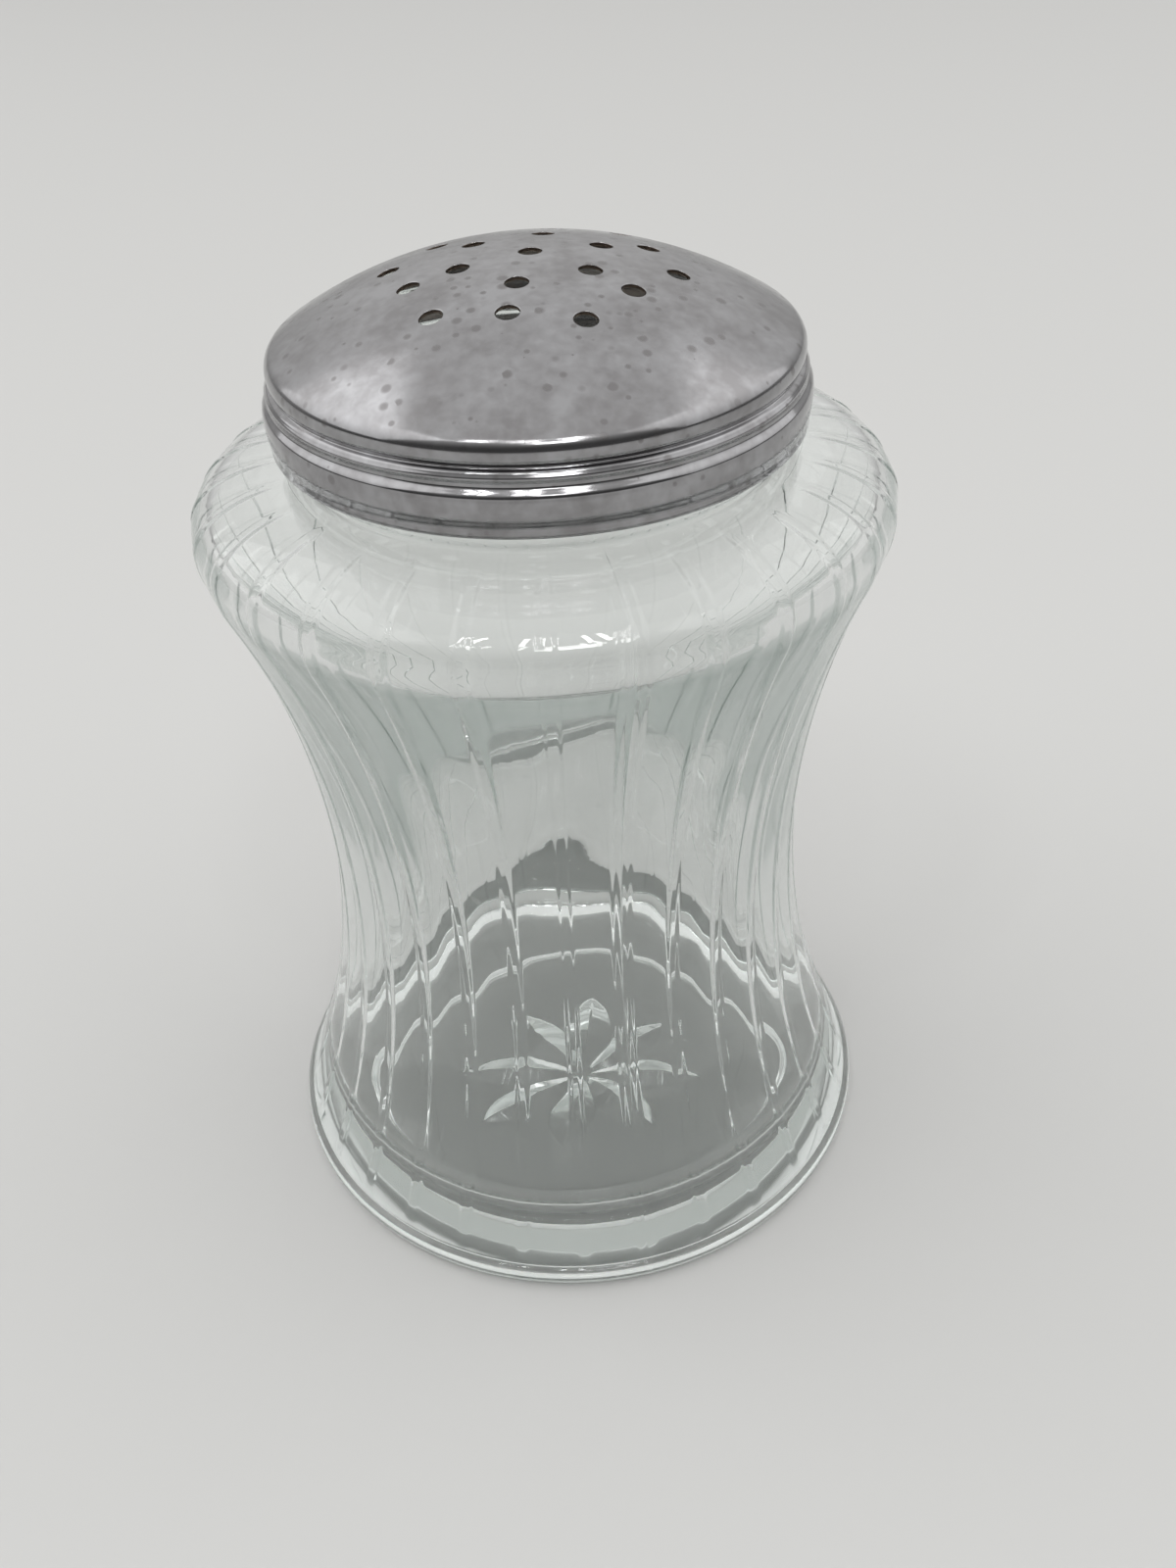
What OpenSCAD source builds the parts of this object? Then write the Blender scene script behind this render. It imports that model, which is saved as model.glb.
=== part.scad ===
// Sugar shaker: a waisted pressed-glass jar with thin upright ribs and a star in its base,
// closed by a domed, perforated screw lid drawn from one sheet of metal.
// Millimetres, +Z up. The origin is the middle of the foot, on the table.

/* [Jar] */
// Radius of the round foot
foot_r = 44; // [42:0.25:48]
// Height of the plain foot band below the ribs
foot_h = 3.5; // [2.5:0.25:6]
// Rounding of the foot's lower edge
foot_edge = 1.2; // [0.6:0.1:2]
// Radius of the jar at its waist
waist_r = 32.8; // [30:0.2:36]
// Height of the waist above the table
waist_z = 51.5; // [44:0.5:58]
// Radius of the long hollow curve of the waist, seen from the side
waist_curve = 117; // [105:1:140]
// Radius of the jar at its widest, on the shoulder
shoulder_r = 43; // [40:0.25:47]
// Radius of the curve below the widest ring, seen from the side
shoulder_curve = 11.5; // [8:0.5:15]
// Rise of the shoulder from the widest ring to the neck
shoulder_rise = 7.3; // [6:0.1:10]
// Thickness of the glass at the shoulder
glass_wall = 3.2; // [2.4:0.1:4]
// Thickness of the glass at the waist, where the blown wall is thickest
waist_wall = 7.5; // [4:0.25:9]
// Thickness of the glass above the foot, where the blown wall is thinnest
heel_wall = 2.6; // [2:0.1:4]
// Thickness of the glass floor above the recess
floor_t = 4.4; // [4:0.2:8]
// Rounding inside, between the wall and the floor
floor_round = 5; // [3:0.5:8]

/* [Neck] */
// Radius of the neck, outside
neck_r = 29; // [27:0.25:31]
// Radius of the mouth
mouth_r = 26.2; // [23:0.2:27]
// Height of the neck above the shoulder
neck_h = 13.6; // [12:0.2:18]
// Rounding where the neck leaves the shoulder
neck_round = 1.2; // [0.6:0.1:2]

/* [Ribs] */
// Number of upright ribs
rib_count = 30; // [12:2:36]
// Direction of the first rib, which hides a mould seam, in degrees from +X
rib_turn = 281; // [0:1:359]
// Width of a plain rib at the waist
rib_w = 1.3; // [0.8:0.1:2]
// Width of the two ribs that hide the mould seams, at the waist
seam_rib_w = 2.2; // [1.2:0.1:3]
// Height of a rib above the glass
rib_h = 0.3; // [0.2:0.05:0.9]
// Length over which a rib rises from the glass at each end
rib_fade = 5; // [2:0.5:8]
// Distance from a rib's upper end to the neck
rib_end_gap = 2.6; // [1.5:0.1:5]

/* [Base star] */
// Depth of the recess under the base
recess_depth = 1.2; // [0.6:0.1:2]
// Width of the ring that the jar stands on
stand_ring_w = 13.3; // [8:0.1:16]
// Number of petals in the star
petal_count = 8; // [5:1:12]
// Direction of the first petal, in degrees from +X
petal_turn = 81; // [0:1:359]
// Length of a petal
petal_length = 16; // [10:0.5:22]
// Width of a petal
petal_w = 5.4; // [3:0.2:8]
// Depth that a petal is pressed into the base
petal_depth = 1.5; // [0.8:0.1:2.4]
// Distance from the star's middle to the near end of a petal
petal_start = 1.6; // [0.5:0.1:4]

/* [Lid] */
// Thickness of the lid's sheet
lid_wall = 0.5; // [0.35:0.05:0.8]
// Room for the thread between the neck and the lid's groove
thread_room = 1.3; // [1:0.1:2]
// Clearance between the neck's rim and the lid that rests on it
seat_gap = 0.3; // [0.2:0.05:0.5]
// Radius of the dome
dome_r = 57; // [50:0.5:80]
// Rounding of the lip around the dome
lip_curve = 2.2; // [1.6:0.1:3]
// How far the lip stands out past the groove under it
lip_out = 0.5; // [0.3:0.05:0.8]
// How far the upper bead stands out past the groove
upper_bead_out = 0.95; // [0.5:0.05:1.4]
// Height of the upper bead
upper_bead_h = 1.5; // [1:0.1:2.5]
// How far the valley between the beads stands out past the groove
valley_out = 0.65; // [0.3:0.05:0.9]
// How far the lower bead stands out past the groove
lower_bead_out = 1.5; // [0.9:0.05:2]
// How far the lower edge stands out past the groove
edge_out = 1.15; // [0.9:0.05:1.6]
// Height of the hem, where the lower edge is folded inside
hem_h = 1.2; // [0.8:0.1:2]
// Gap between the lid's lower edge and the shoulder
skirt_gap = 2.4; // [1:0.1:4]

/* [Holes] */
// Diameter of a sugar hole
hole_d = 2.7; // [2:0.1:4]
// Distance of the six inner holes from the middle
inner_hole_ring = 8.6; // [6:0.1:10]
// Distance of the outer hexagon's corner holes from the middle
outer_hole_ring = 16.7; // [14:0.1:20]
// Direction of the first inner hole, in degrees from +X
hole_turn = 19; // [0:1:59]

/* [Hidden] */
$fn = 96;

// Points along an arc in the (radius, height) plane
function arc(centre, radius, from, to, steps) =
    [for (i = [0 : steps]) let (a = lerp(from, to, i / steps)) centre + radius * [cos(a), sin(a)]];
function lerp(a, b, t) = a + (b - a) * t;
// Smooth step from a to b, level at both ends
function ease(a, b, t) = lerp(a, b, (1 - cos(180 * t)) / 2);
function back_to_front(list) = [for (i = [len(list) - 1 : -1 : 0]) list[i]];

// Side curve of the jar: the waist's hollow arc runs tangent into the shoulder's arc
waist_centre = [waist_r + waist_curve, waist_z];
shoulder_arc_r = shoulder_r - shoulder_curve;
arcs_apart = waist_curve + shoulder_curve;
widest_z = waist_z + sqrt(pow(arcs_apart, 2) - pow(waist_centre.x - shoulder_arc_r, 2));
shoulder_centre = [shoulder_arc_r, widest_z];
tangent_a = atan2(widest_z - waist_z, waist_centre.x - shoulder_arc_r);
shoulder_top = widest_z + shoulder_rise;
crown_split_z = waist_z + waist_curve * sin(tangent_a);
waist_steps = 14;
shoulder_steps = 5;
crown_steps = 9;
corner_steps = 5;

// Hollow waist curve outside, from a height up to the shoulder's arc
function waist_line(z) =
    arc(waist_centre, waist_curve, 180 + asin((waist_z - z) / waist_curve), 180 - tangent_a, waist_steps);
// Curve under the widest ring, from the angle at which the waist runs into it
function shoulder_line(radius, start_a) = arc(shoulder_centre, radius, -start_a, 0, shoulder_steps);
// Crown of the shoulder: a quarter ellipse from the widest ring to a radius near the neck
function crown_line(inset, end_r, rise, last_r) =
    let (span = shoulder_r - inset - end_r, last_a = acos((last_r - end_r) / span))
    [for (i = [1 : crown_steps]) let (a = last_a * i / crown_steps)
        [end_r + span * cos(a), widest_z + rise * sin(a)]];

// Rim of the neck, rounded over its whole width
rim_z = shoulder_top + neck_h;
rim_round = (neck_r - mouth_r) / 2;
rim_mid_r = (neck_r + mouth_r) / 2;
rim_line = arc([rim_mid_r, rim_z - rim_round], rim_round, 0, 180, 2 * corner_steps);

// Foot: the ring that the jar stands on, its rounded edge and the band above it
stand_r = foot_r - foot_edge;
recess_r = stand_r - stand_ring_w;
foot_line = concat(
    [[0, recess_depth], [recess_r - recess_depth, recess_depth], [recess_r, 0]],
    arc([stand_r, foot_edge], foot_edge, -90, 0, corner_steps));

// Inside of the waist: an arc from its narrowest ring down, tangent to the floor's rounding
floor_z = recess_depth + floor_t;
inner_waist_r = waist_r - waist_wall;
inner_foot_z = floor_z + floor_round;
base_split_z = floor_z + floor_round / 5;
heel_drop = waist_z - inner_foot_z;
heel_step = waist_line(inner_foot_z)[0].x - heel_wall - inner_waist_r;
lower_curve = (pow(heel_step, 2) + pow(heel_drop, 2)) / (2 * heel_step);
lower_centre = [inner_waist_r + lower_curve, waist_z];
floor_corner_r = lower_centre.x - sqrt(pow(lower_curve + floor_round, 2) - pow(heel_drop, 2));
heel_a = atan2(heel_drop, lower_centre.x - floor_corner_r);

// Another arc from the same ring up, tangent to the inside of the shoulder
inner_shoulder_curve = shoulder_curve - glass_wall;
waist_reach = inner_waist_r - shoulder_arc_r;
upper_curve = (pow(waist_reach, 2) + pow(widest_z - waist_z, 2) - pow(inner_shoulder_curve, 2))
    / (2 * (inner_shoulder_curve - waist_reach));
upper_centre = [inner_waist_r + upper_curve, waist_z];
inner_tangent_a = atan2(widest_z - waist_z, upper_centre.x - shoulder_arc_r);

// Inside, from the neck's bore down over crown, shoulder and waist to the floor
inner_rise = shoulder_rise - glass_wall;
bore_round = neck_round;
inner_line = concat(
    arc([mouth_r + bore_round, widest_z + inner_rise + bore_round], bore_round, 180, 270, corner_steps),
    back_to_front(crown_line(glass_wall, mouth_r, inner_rise, mouth_r + bore_round)),
    back_to_front(shoulder_line(inner_shoulder_curve, inner_tangent_a)),
    arc(upper_centre, upper_curve, 180 - inner_tangent_a, 180, waist_steps),
    arc(lower_centre, lower_curve, 180, 180 + heel_a, waist_steps),
    arc([floor_corner_r, inner_foot_z], floor_round, heel_a, -90, crown_steps),
    [[0, floor_z]]);

// Body line that the ribs follow, from the foot band to the neck
body_line = concat(waist_line(foot_h), shoulder_line(shoulder_curve, tangent_a),
    crown_line(0, neck_r, shoulder_rise, neck_r + rib_end_gap));
jar_line = concat(
    foot_line,
    [[foot_r, foot_h - foot_edge]],
    waist_line(foot_h),
    shoulder_line(shoulder_curve, tangent_a),
    crown_line(0, neck_r, shoulder_rise, neck_r + neck_round),
    arc([neck_r + neck_round, shoulder_top + neck_round], neck_round, 270, 180, corner_steps),
    rim_line,
    inner_line);

// Rib section: it starts inside the glass, rises to its height and sinks again
rib_root = 0.8;
function along(line, i) = i == 0 ? 0 : along(line, i - 1) + norm(line[i] - line[i - 1]);
body_run = [for (i = [0 : len(body_line) - 1]) along(body_line, i)];
body_length = body_run[len(body_run) - 1];
function outward(line, i) =
    let (d = line[min(i + 1, len(line) - 1)] - line[max(i - 1, 0)]) [d.y, -d.x] / norm(d);
function rib_rise(s) =
    ease(-rib_root / 2, rib_h, min(1, s / rib_fade, (body_length - s) / rib_fade));
rib_top = [for (i = [0 : len(body_line) - 1])
    body_line[i] + rib_rise(body_run[i]) * outward(body_line, i)];
rib_foot = [for (i = [0 : len(body_line) - 1]) body_line[i] - rib_root * outward(body_line, i)];
rib_section = concat(rib_top, back_to_front(rib_foot));

// Petal of the star: a lens between two arcs of this radius
petal_arc = (pow(petal_length, 2) + pow(petal_w, 2)) / (4 * petal_w);

// Lid: the dome's underside rests over the neck's rim
dome_z = rim_z - rim_round
    - sqrt(pow(dome_r - lid_wall - rim_round - seat_gap, 2) - pow(rim_mid_r, 2));
groove_r = neck_r + thread_room + lid_wall;
lip_arc_r = groove_r + lip_out - lip_curve;
lip_z = dome_z + sqrt(pow(dome_r - lip_curve, 2) - pow(lip_arc_r, 2));
lip_centre = [lip_arc_r, lip_z];
lip_start_a = atan2(lip_z - dome_z, lip_arc_r);
lip_end_a = -acos((lip_curve - lip_out) / lip_curve);
groove_z = lip_z + lip_curve * sin(lip_end_a);
edge_z = shoulder_top + skirt_gap;
valley_z = groove_z - upper_bead_h;
punch_reach = 4 * lid_wall;
dome_steps = 10;
lip_steps = 7;
bead_steps = 4;

// Skirt from the groove down to the lower edge, as level stops with smooth steps between them
skirt_stops = [
    [groove_r, groove_z],
    [groove_r + upper_bead_out, groove_z - upper_bead_h / 2],
    [groove_r + valley_out, valley_z],
    [groove_r + lower_bead_out, (valley_z + edge_z) / 2],
    [groove_r + edge_out, edge_z]];
skirt_line = [for (k = [0 : len(skirt_stops) - 2], i = [1 : bead_steps])
    let (a = skirt_stops[k], b = skirt_stops[k + 1], t = i / bead_steps)
    [ease(a.x, b.x, t), lerp(a.y, b.y, t)]];
function dome_line(inset) = arc([0, dome_z], dome_r - inset, 90, lip_start_a, dome_steps);
function lip_line(inset) = arc(lip_centre, lip_curve - inset, lip_start_a, lip_end_a, lip_steps);
hem_line = [
    [groove_r + edge_out - 2 * lid_wall, edge_z],
    [groove_r + edge_out - 2 * lid_wall, edge_z + hem_h]];
skirt_inside = [for (p = back_to_front(skirt_line)) if (p.y > edge_z + hem_h) p - [lid_wall, 0]];
hem_inner = [groove_r + edge_out - lid_wall, edge_z + hem_h];
lid_line = concat(dome_line(0), lip_line(0), skirt_line, hem_line, [hem_inner], skirt_inside,
    back_to_front(lip_line(lid_wall)), back_to_front(dome_line(lid_wall)));

module rib(width) {
    turn = width / waist_r * 180 / PI;
    rotate([0, 0, -turn / 2])
        rotate_extrude(angle = turn)
            polygon(rib_section);
}

module petal() {
    translate([petal_start + petal_length / 2, 0, 0])
        linear_extrude(recess_depth + petal_depth)
            intersection() {
                translate([0, petal_w / 2 - petal_arc])
                    circle(petal_arc);
                translate([0, petal_arc - petal_w / 2])
                    circle(petal_arc);
            }
}

module hole(ring, turn) {
    rotate([0, 0, turn])
        translate([0, 0, dome_z])
            rotate([0, asin(ring / dome_r), 0])
                translate([0, 0, dome_r - punch_reach])
                    cylinder(d = hole_d, h = 2 * punch_reach);
}

// The whole jar, one piece of glass
module glass() {
    difference() {
        union() {
            rotate_extrude()
                polygon(jar_line);
            for (i = [0 : rib_count - 1])
                rotate([0, 0, rib_turn + 360 * i / rib_count])
                    rib(i % (rib_count / 2) == 0 ? seam_rib_w : rib_w);
        }
        for (i = [0 : petal_count - 1])
            rotate([0, 0, petal_turn + 360 * i / petal_count])
                petal();
    }
}

module glass_between(low, high) {
    color([0.80, 0.86, 0.84, 0.5])
        intersection() {
            glass();
            translate([0, 0, low])
                cylinder(r = 2 * foot_r, h = high - low);
        }
}

module jar_base() {
    glass_between(-foot_h, base_split_z);
}

module jar_wall() {
    glass_between(base_split_z, crown_split_z);
}

module jar_crown() {
    glass_between(crown_split_z, rim_z + neck_h);
}

module lid() {
    color([0.74, 0.75, 0.77])
        difference() {
            rotate_extrude()
                polygon(lid_line);
            hole(0, 0);
            for (i = [0 : 5]) {
                hole(inner_hole_ring, hole_turn + 60 * i);
                hole(outer_hole_ring * cos(30), hole_turn + 60 * i);
                hole(outer_hole_ring, hole_turn + 30 + 60 * i);
            }
        }
}

jar_base();
jar_wall();
jar_crown();
lid();
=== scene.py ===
# %% [markdown]
# # A glass sugar shaker with a perforated lid
#
# The shaker is two pieces. A heavy jar of blown glass has a wide foot, a narrow waist and a round
# shoulder, with thin ribs from top to bottom and a star pressed into its base. A lid of bright plated
# sheet is screwed over its neck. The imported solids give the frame, and each piece below is built in the
# same place with its fine shape and finish. Lengths are written in millimetres and turned into metres
# once, when a mesh is made.

# %% Load the frame
import math

import bpy
import numpy as np
from mathutils import Matrix, Vector
from mathutils.geometry import delaunay_2d_cdt


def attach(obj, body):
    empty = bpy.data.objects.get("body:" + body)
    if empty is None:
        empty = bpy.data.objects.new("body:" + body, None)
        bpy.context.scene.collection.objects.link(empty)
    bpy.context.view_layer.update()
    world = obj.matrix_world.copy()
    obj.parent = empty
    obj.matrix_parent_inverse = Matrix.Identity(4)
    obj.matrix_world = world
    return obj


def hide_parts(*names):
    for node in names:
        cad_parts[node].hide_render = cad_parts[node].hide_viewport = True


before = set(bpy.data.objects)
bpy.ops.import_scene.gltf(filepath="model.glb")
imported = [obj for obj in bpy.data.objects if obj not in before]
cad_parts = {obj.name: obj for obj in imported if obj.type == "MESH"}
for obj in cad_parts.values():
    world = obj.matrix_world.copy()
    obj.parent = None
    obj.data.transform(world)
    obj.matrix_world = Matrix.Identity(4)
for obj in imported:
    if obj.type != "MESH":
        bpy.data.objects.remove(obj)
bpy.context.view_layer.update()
MM = 0.001

# %% [markdown]
# The camera stands close and looks down on the shaker, so the dome, the shoulder and the star in the
# base all show. A tracking constraint could aim it, but would lose the slight lean of a hand-held view.
# So its place and its three angles are plain numbers, with a small turn and roll.

# %% Camera
CAMERA_PLACE = Vector((0.0, -167.5, 181.8)) * MM
CAMERA_DOWN, CAMERA_TURN, CAMERA_ROLL = 36.95, -1.256, 2.697
LENS_MM, LONG_SIDE_MM = 33.75, 36.0

camera = bpy.data.objects.new("camera", bpy.data.cameras.new("camera"))
bpy.context.scene.collection.objects.link(camera)
bpy.context.scene.camera = camera
camera.data.lens = LENS_MM
camera.data.sensor_width = LONG_SIDE_MM
camera.data.clip_start = 0.01
camera.matrix_world = (
    Matrix.Translation(CAMERA_PLACE)
    @ Matrix.Rotation(math.radians(CAMERA_TURN), 4, "Z")
    @ Matrix.Rotation(math.radians(-CAMERA_DOWN), 4, "X")
    @ Matrix.Rotation(math.radians(CAMERA_ROLL), 4, "Y")
    @ Matrix.Rotation(math.radians(90), 4, "X")
)
print("camera", [round(c / MM, 1) for c in CAMERA_PLACE], "mm, lens", LENS_MM, "mm")

# %% [markdown]
# A mould and a turning pin give glass and lid their outline, so both pieces start from a line in the
# plane of radius and height. A curve object with a Screw modifier could turn such a line. Here each row
# of points is kept as numbers instead, because the ribs, the star and the thread are then pressed into
# the rows before the mesh is made.

# %% Outline helpers
def arc(centre, radius, start, end, steps):
    """Points (radius, height) along an arc, angles in degrees."""
    angles = np.radians(np.linspace(start, end, steps + 1))
    return [(centre[0] + radius * math.cos(a), centre[1] + radius * math.sin(a)) for a in angles]


def line(start, end, steps):
    """Points along a straight stretch, both ends included."""
    return [tuple(p) for p in np.linspace(start, end, steps + 1)]


def smooth(t):
    """Smooth step from 0 to 1, level at both ends."""
    t = np.clip(t, 0.0, 1.0)
    return t * t * (3.0 - 2.0 * t)


print("outline helpers ready")

# %% [markdown]
# The jar's outline is a hollow arc through the waist that runs tangent into the small arc of the
# shoulder. The sizes that a maker would measure are named here. What follows from them is worked out,
# such as the height of the widest ring, where the two arcs meet: typed in, it would be wrong as soon as
# one size changed.

# %% Sizes of the jar
FOOT_R, FOOT_EDGE, FOOT_TOP_R, FOOT_TOP_Z = 44.0, 1.6, 1.4, 2.0
RECESS_R, RECESS_DEPTH, STAND_R = 29.5, 1.2, 42.4
WAIST_R, WAIST_Z, WAIST_CURVE = 32.8, 51.5, 117.0
SHOULDER_R, SHOULDER_CURVE, SHOULDER_RISE = 43.0, 11.5, 7.3
NECK_R, MOUTH_R, NECK_H, NECK_ROUND = 29.0, 26.2, 13.6, 1.2
BODY_START_Z = 3.9

waist_x = WAIST_R + WAIST_CURVE
crown_x = SHOULDER_R - SHOULDER_CURVE
widest_z = WAIST_Z + math.sqrt((WAIST_CURVE + SHOULDER_CURVE) ** 2 - (waist_x - crown_x) ** 2)
lean_a = math.degrees(math.atan2(widest_z - WAIST_Z, waist_x - crown_x))
start_a = 180 + math.degrees(math.asin((WAIST_Z - BODY_START_Z) / WAIST_CURVE))
shoulder_top = widest_z + SHOULDER_RISE
rim_z = shoulder_top + NECK_H
rim_round = (NECK_R - MOUTH_R) / 2
print("widest ring at", round(widest_z, 1), "mm, rim at", round(rim_z, 1), "mm")

# %% [markdown]
# The outside runs from the middle of the base, over the foot and the body, to the rim. The crown above
# the shoulder is a quarter ellipse that ends at the neck. Each stretch is named, so that later cells
# know which rows carry ribs, which carry the thread and which lie under the base.

# %% Jar outline, outside
STAR_HUB, STAR_REACH, BASE_START = 0.7, 18.6, 21.0
STAND_START, FOOT_END, CROWN_ROWS = 34.0, (42.98, 3.55), 14


def crown(start_r, end_r, rise, last_r, steps):
    """Quarter ellipse from the widest ring in to a radius beside the neck."""
    last = math.acos((last_r - end_r) / (start_r - end_r))
    angles = [last * i / steps for i in range(steps + 1)]
    return [(end_r + (start_r - end_r) * math.cos(a), widest_z + rise * math.sin(a)) for a in angles]


recess_edge = [(RECESS_R - 0.85, 1.08), (RECESS_R - 0.3, 0.32), (RECESS_R, 0.06), (RECESS_R + 0.4, 0.0)]
outside = {
    "star": line((STAR_HUB, RECESS_DEPTH), (STAR_REACH, RECESS_DEPTH), 32),
    "base": line((BASE_START, RECESS_DEPTH), (RECESS_R - RECESS_DEPTH, RECESS_DEPTH), 3)
    + recess_edge
    + line((STAND_START, 0.0), (STAND_R - 0.4, 0.0), 2),
    "foot": arc((STAND_R, FOOT_EDGE), FOOT_EDGE, -90, 0, 7)
    + arc((FOOT_R - FOOT_TOP_R, FOOT_TOP_Z), FOOT_TOP_R, 0, 72, 6)
    + [FOOT_END],
    "body": arc((waist_x, WAIST_Z), WAIST_CURVE, start_a, 180 - lean_a, 46)
    + arc((crown_x, widest_z), SHOULDER_CURVE, -lean_a, 0, 8)[1:]
    + crown(SHOULDER_R, NECK_R, SHOULDER_RISE, NECK_R + NECK_ROUND, CROWN_ROWS)[1:],
    "neck": arc((NECK_R + NECK_ROUND, shoulder_top + NECK_ROUND), NECK_ROUND, 265, 180, 4)
    + line((NECK_R, shoulder_top + 1.5), (NECK_R, rim_z - rim_round - 0.3), 30),
    "rim": arc((NECK_R - rim_round, rim_z - rim_round), rim_round, 0, 180, 10),
}
print("outside rows:", {name: len(points) for name, points in outside.items()})

# %% [markdown]
# Blown glass is thickest where the mould squeezes it first and thinnest where it is blown out furthest.
# So the inside is a tighter hourglass than the outside: over 7 mm of glass at the waist, and less than
# half of that above the foot and at the shoulder. A Solidify modifier gives one thickness all over.
# This wedge of glass is what bends the view of the base, so the inside has arcs of its own.

# %% Curves of the inside
WAIST_WALL, HEEL_WALL, CROWN_WALL = 7.5, 2.6, 3.2
FLOOR_Z, FLOOR_ROUND = 5.6, 5.0

inner_waist_r = WAIST_R - WAIST_WALL
heel_z = FLOOR_Z + FLOOR_ROUND
heel_drop = WAIST_Z - heel_z
heel_step = waist_x - math.sqrt(WAIST_CURVE**2 - heel_drop**2) - HEEL_WALL - inner_waist_r
lower_curve = (heel_step**2 + heel_drop**2) / (2 * heel_step)
lower_x = inner_waist_r + lower_curve
floor_r = lower_x - math.sqrt((lower_curve + FLOOR_ROUND) ** 2 - heel_drop**2)
heel_a = math.degrees(math.atan2(heel_drop, lower_x - floor_r))

inner_shoulder = SHOULDER_CURVE - CROWN_WALL
reach = inner_waist_r - crown_x
upper_curve = (reach**2 + (widest_z - WAIST_Z) ** 2 - inner_shoulder**2) / (2 * (inner_shoulder - reach))
upper_x = inner_waist_r + upper_curve
inner_lean_a = math.degrees(math.atan2(widest_z - WAIST_Z, upper_x - crown_x))
print("glass at the waist", WAIST_WALL, "mm, floor", FLOOR_Z - RECESS_DEPTH, "mm")

# %% [markdown]
# The inside goes on where the rim ends: down the bore, out under the crown, in to the waist, out again
# to the heel and along the floor to its middle. It carries the same row form as the outside, so one
# skin can hold both.

# %% Jar outline, inside
FLOOR_START, FLOOR_END = 28.0, 2.0

inner_rise = SHOULDER_RISE - CROWN_WALL
bore_end_z = widest_z + inner_rise + NECK_ROUND

inside = (
    line((MOUTH_R, rim_z - rim_round - 1.0), (MOUTH_R, bore_end_z + 0.5), 5)
    + arc((MOUTH_R + NECK_ROUND, bore_end_z), NECK_ROUND, 180, 262, 4)
    + crown(SHOULDER_R - CROWN_WALL, MOUTH_R, inner_rise, MOUTH_R + NECK_ROUND, 10)[::-1][1:]
    + arc((crown_x, widest_z), inner_shoulder, 0, -inner_lean_a, 6)[1:]
    + arc((upper_x, WAIST_Z), upper_curve, 180 - inner_lean_a, 180, 22)[1:]
    + arc((lower_x, WAIST_Z), lower_curve, 180, 180 + heel_a, 20)[1:]
    + arc((floor_r, heel_z), FLOOR_ROUND, heel_a, -90, 10)[1:]
    + line((FLOOR_START, FLOOR_Z), (FLOOR_END, FLOOR_Z), 6)
)
print("inside rows:", len(inside))

# %% [markdown]
# Thirty ribs stand 12 degrees apart. Evenly spaced columns would need hundreds more of them to catch a
# rib 1.3 mm wide, so the columns are given: close together over each flank of a rib, wide apart
# over the panels, and one along the middle of each petal of the star. Smooth shading spreads a bend
# over the whole of the next face, so a column also stands just past each flank and keeps the panel
# calm. The two ribs on the mould's seams are wider and have a fine line down the middle.

# %% Directions around the jar
RIBS, RIB_TURN, RIB_STEP = 30, 281.0, 12.0
RIB_W, SEAM_RIB_W = 1.3, 2.2
PETALS, PETAL_TURN = 8, 81.0
RIB_EDGE = 0.45
FLANK_SHARES = (-1.6, -1.0, -0.35, 0.35, 1.0, 1.6)
PANEL_COLUMNS, SEAM_COLUMNS = (2.9, 4.4), (0.12, 0.30)

rib_half = math.degrees(RIB_W / 2 / WAIST_R)
seam_rib_half = math.degrees(SEAM_RIB_W / 2 / WAIST_R)
columns = set()
for i in range(RIBS):
    seam = i % (RIBS // 2) == 0
    steps = [0.0, *(SEAM_COLUMNS if seam else ()), *PANEL_COLUMNS]
    steps += [(seam_rib_half if seam else rib_half) + RIB_EDGE * share for share in FLANK_SHARES]
    for step in steps:
        columns.update({round((RIB_TURN + i * RIB_STEP + side * step) % 360, 4) for side in (-1, 1)})
    columns.add(round((RIB_TURN + (i + 0.5) * RIB_STEP) % 360, 4))
columns.update(round((PETAL_TURN + 360 / PETALS * k) % 360, 4) for k in range(PETALS))
turns = np.array(sorted(columns))
print("columns:", len(turns))

# %% [markdown]
# Across a rib the glass rises over a soft, narrow flank to a flat top, and that is why a rib shows as
# two lines. A bump in the material would draw lines as well, but glass bends light by its real shape.
# The panels between the ribs are a little flatter than a true circle.

# %% Shape across the ribs
SEAM_LINE_A = 0.30


def from_rib(turn):
    """Distance from the nearest rib in degrees, and whether that rib is on a seam."""
    place = (turn - RIB_TURN) % 360
    index = np.round(place / RIB_STEP)
    return np.abs(place - index * RIB_STEP), index % (RIBS // 2) == 0


def ridge(off, half):
    """Height across a rib, at a distance from its middle in degrees."""
    return 1.0 - smooth((off - half + RIB_EDGE) / (2 * RIB_EDGE))


off_rib, on_seam = from_rib(turns)
rib_shape = np.where(on_seam, ridge(off_rib, seam_rib_half), ridge(off_rib, rib_half))
seam_shape = np.where(on_seam, np.clip(1.0 - off_rib / SEAM_LINE_A, 0.0, 1.0), 0.0)
half_step = math.radians(RIB_STEP / 2)
panel_shape = math.cos(half_step) / np.cos(half_step - np.radians(off_rib)) - 1.0
print("deepest panel at the waist:", round(-panel_shape.min() * WAIST_R, 2), "mm")

# %% [markdown]
# The star is pressed in as eight V-shaped petals. Each is a lens in plan, and its two flanks slope at
# one angle, so the groove is deepest where the petal is widest. Light is thrown back inside the glass
# by these flanks, which is why the petals look bright. Boolean cutters could make them, but a depth for
# each point keeps the grid whole.

# %% Star under the base
PETAL_START, PETAL_LENGTH, PETAL_W, PETAL_DEPTH = 1.2, 16.4, 7.0, 1.7
petal_bow = (PETAL_LENGTH**2 + PETAL_W**2) / (4 * PETAL_W)
petal_middle = PETAL_START + PETAL_LENGTH / 2


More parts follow.
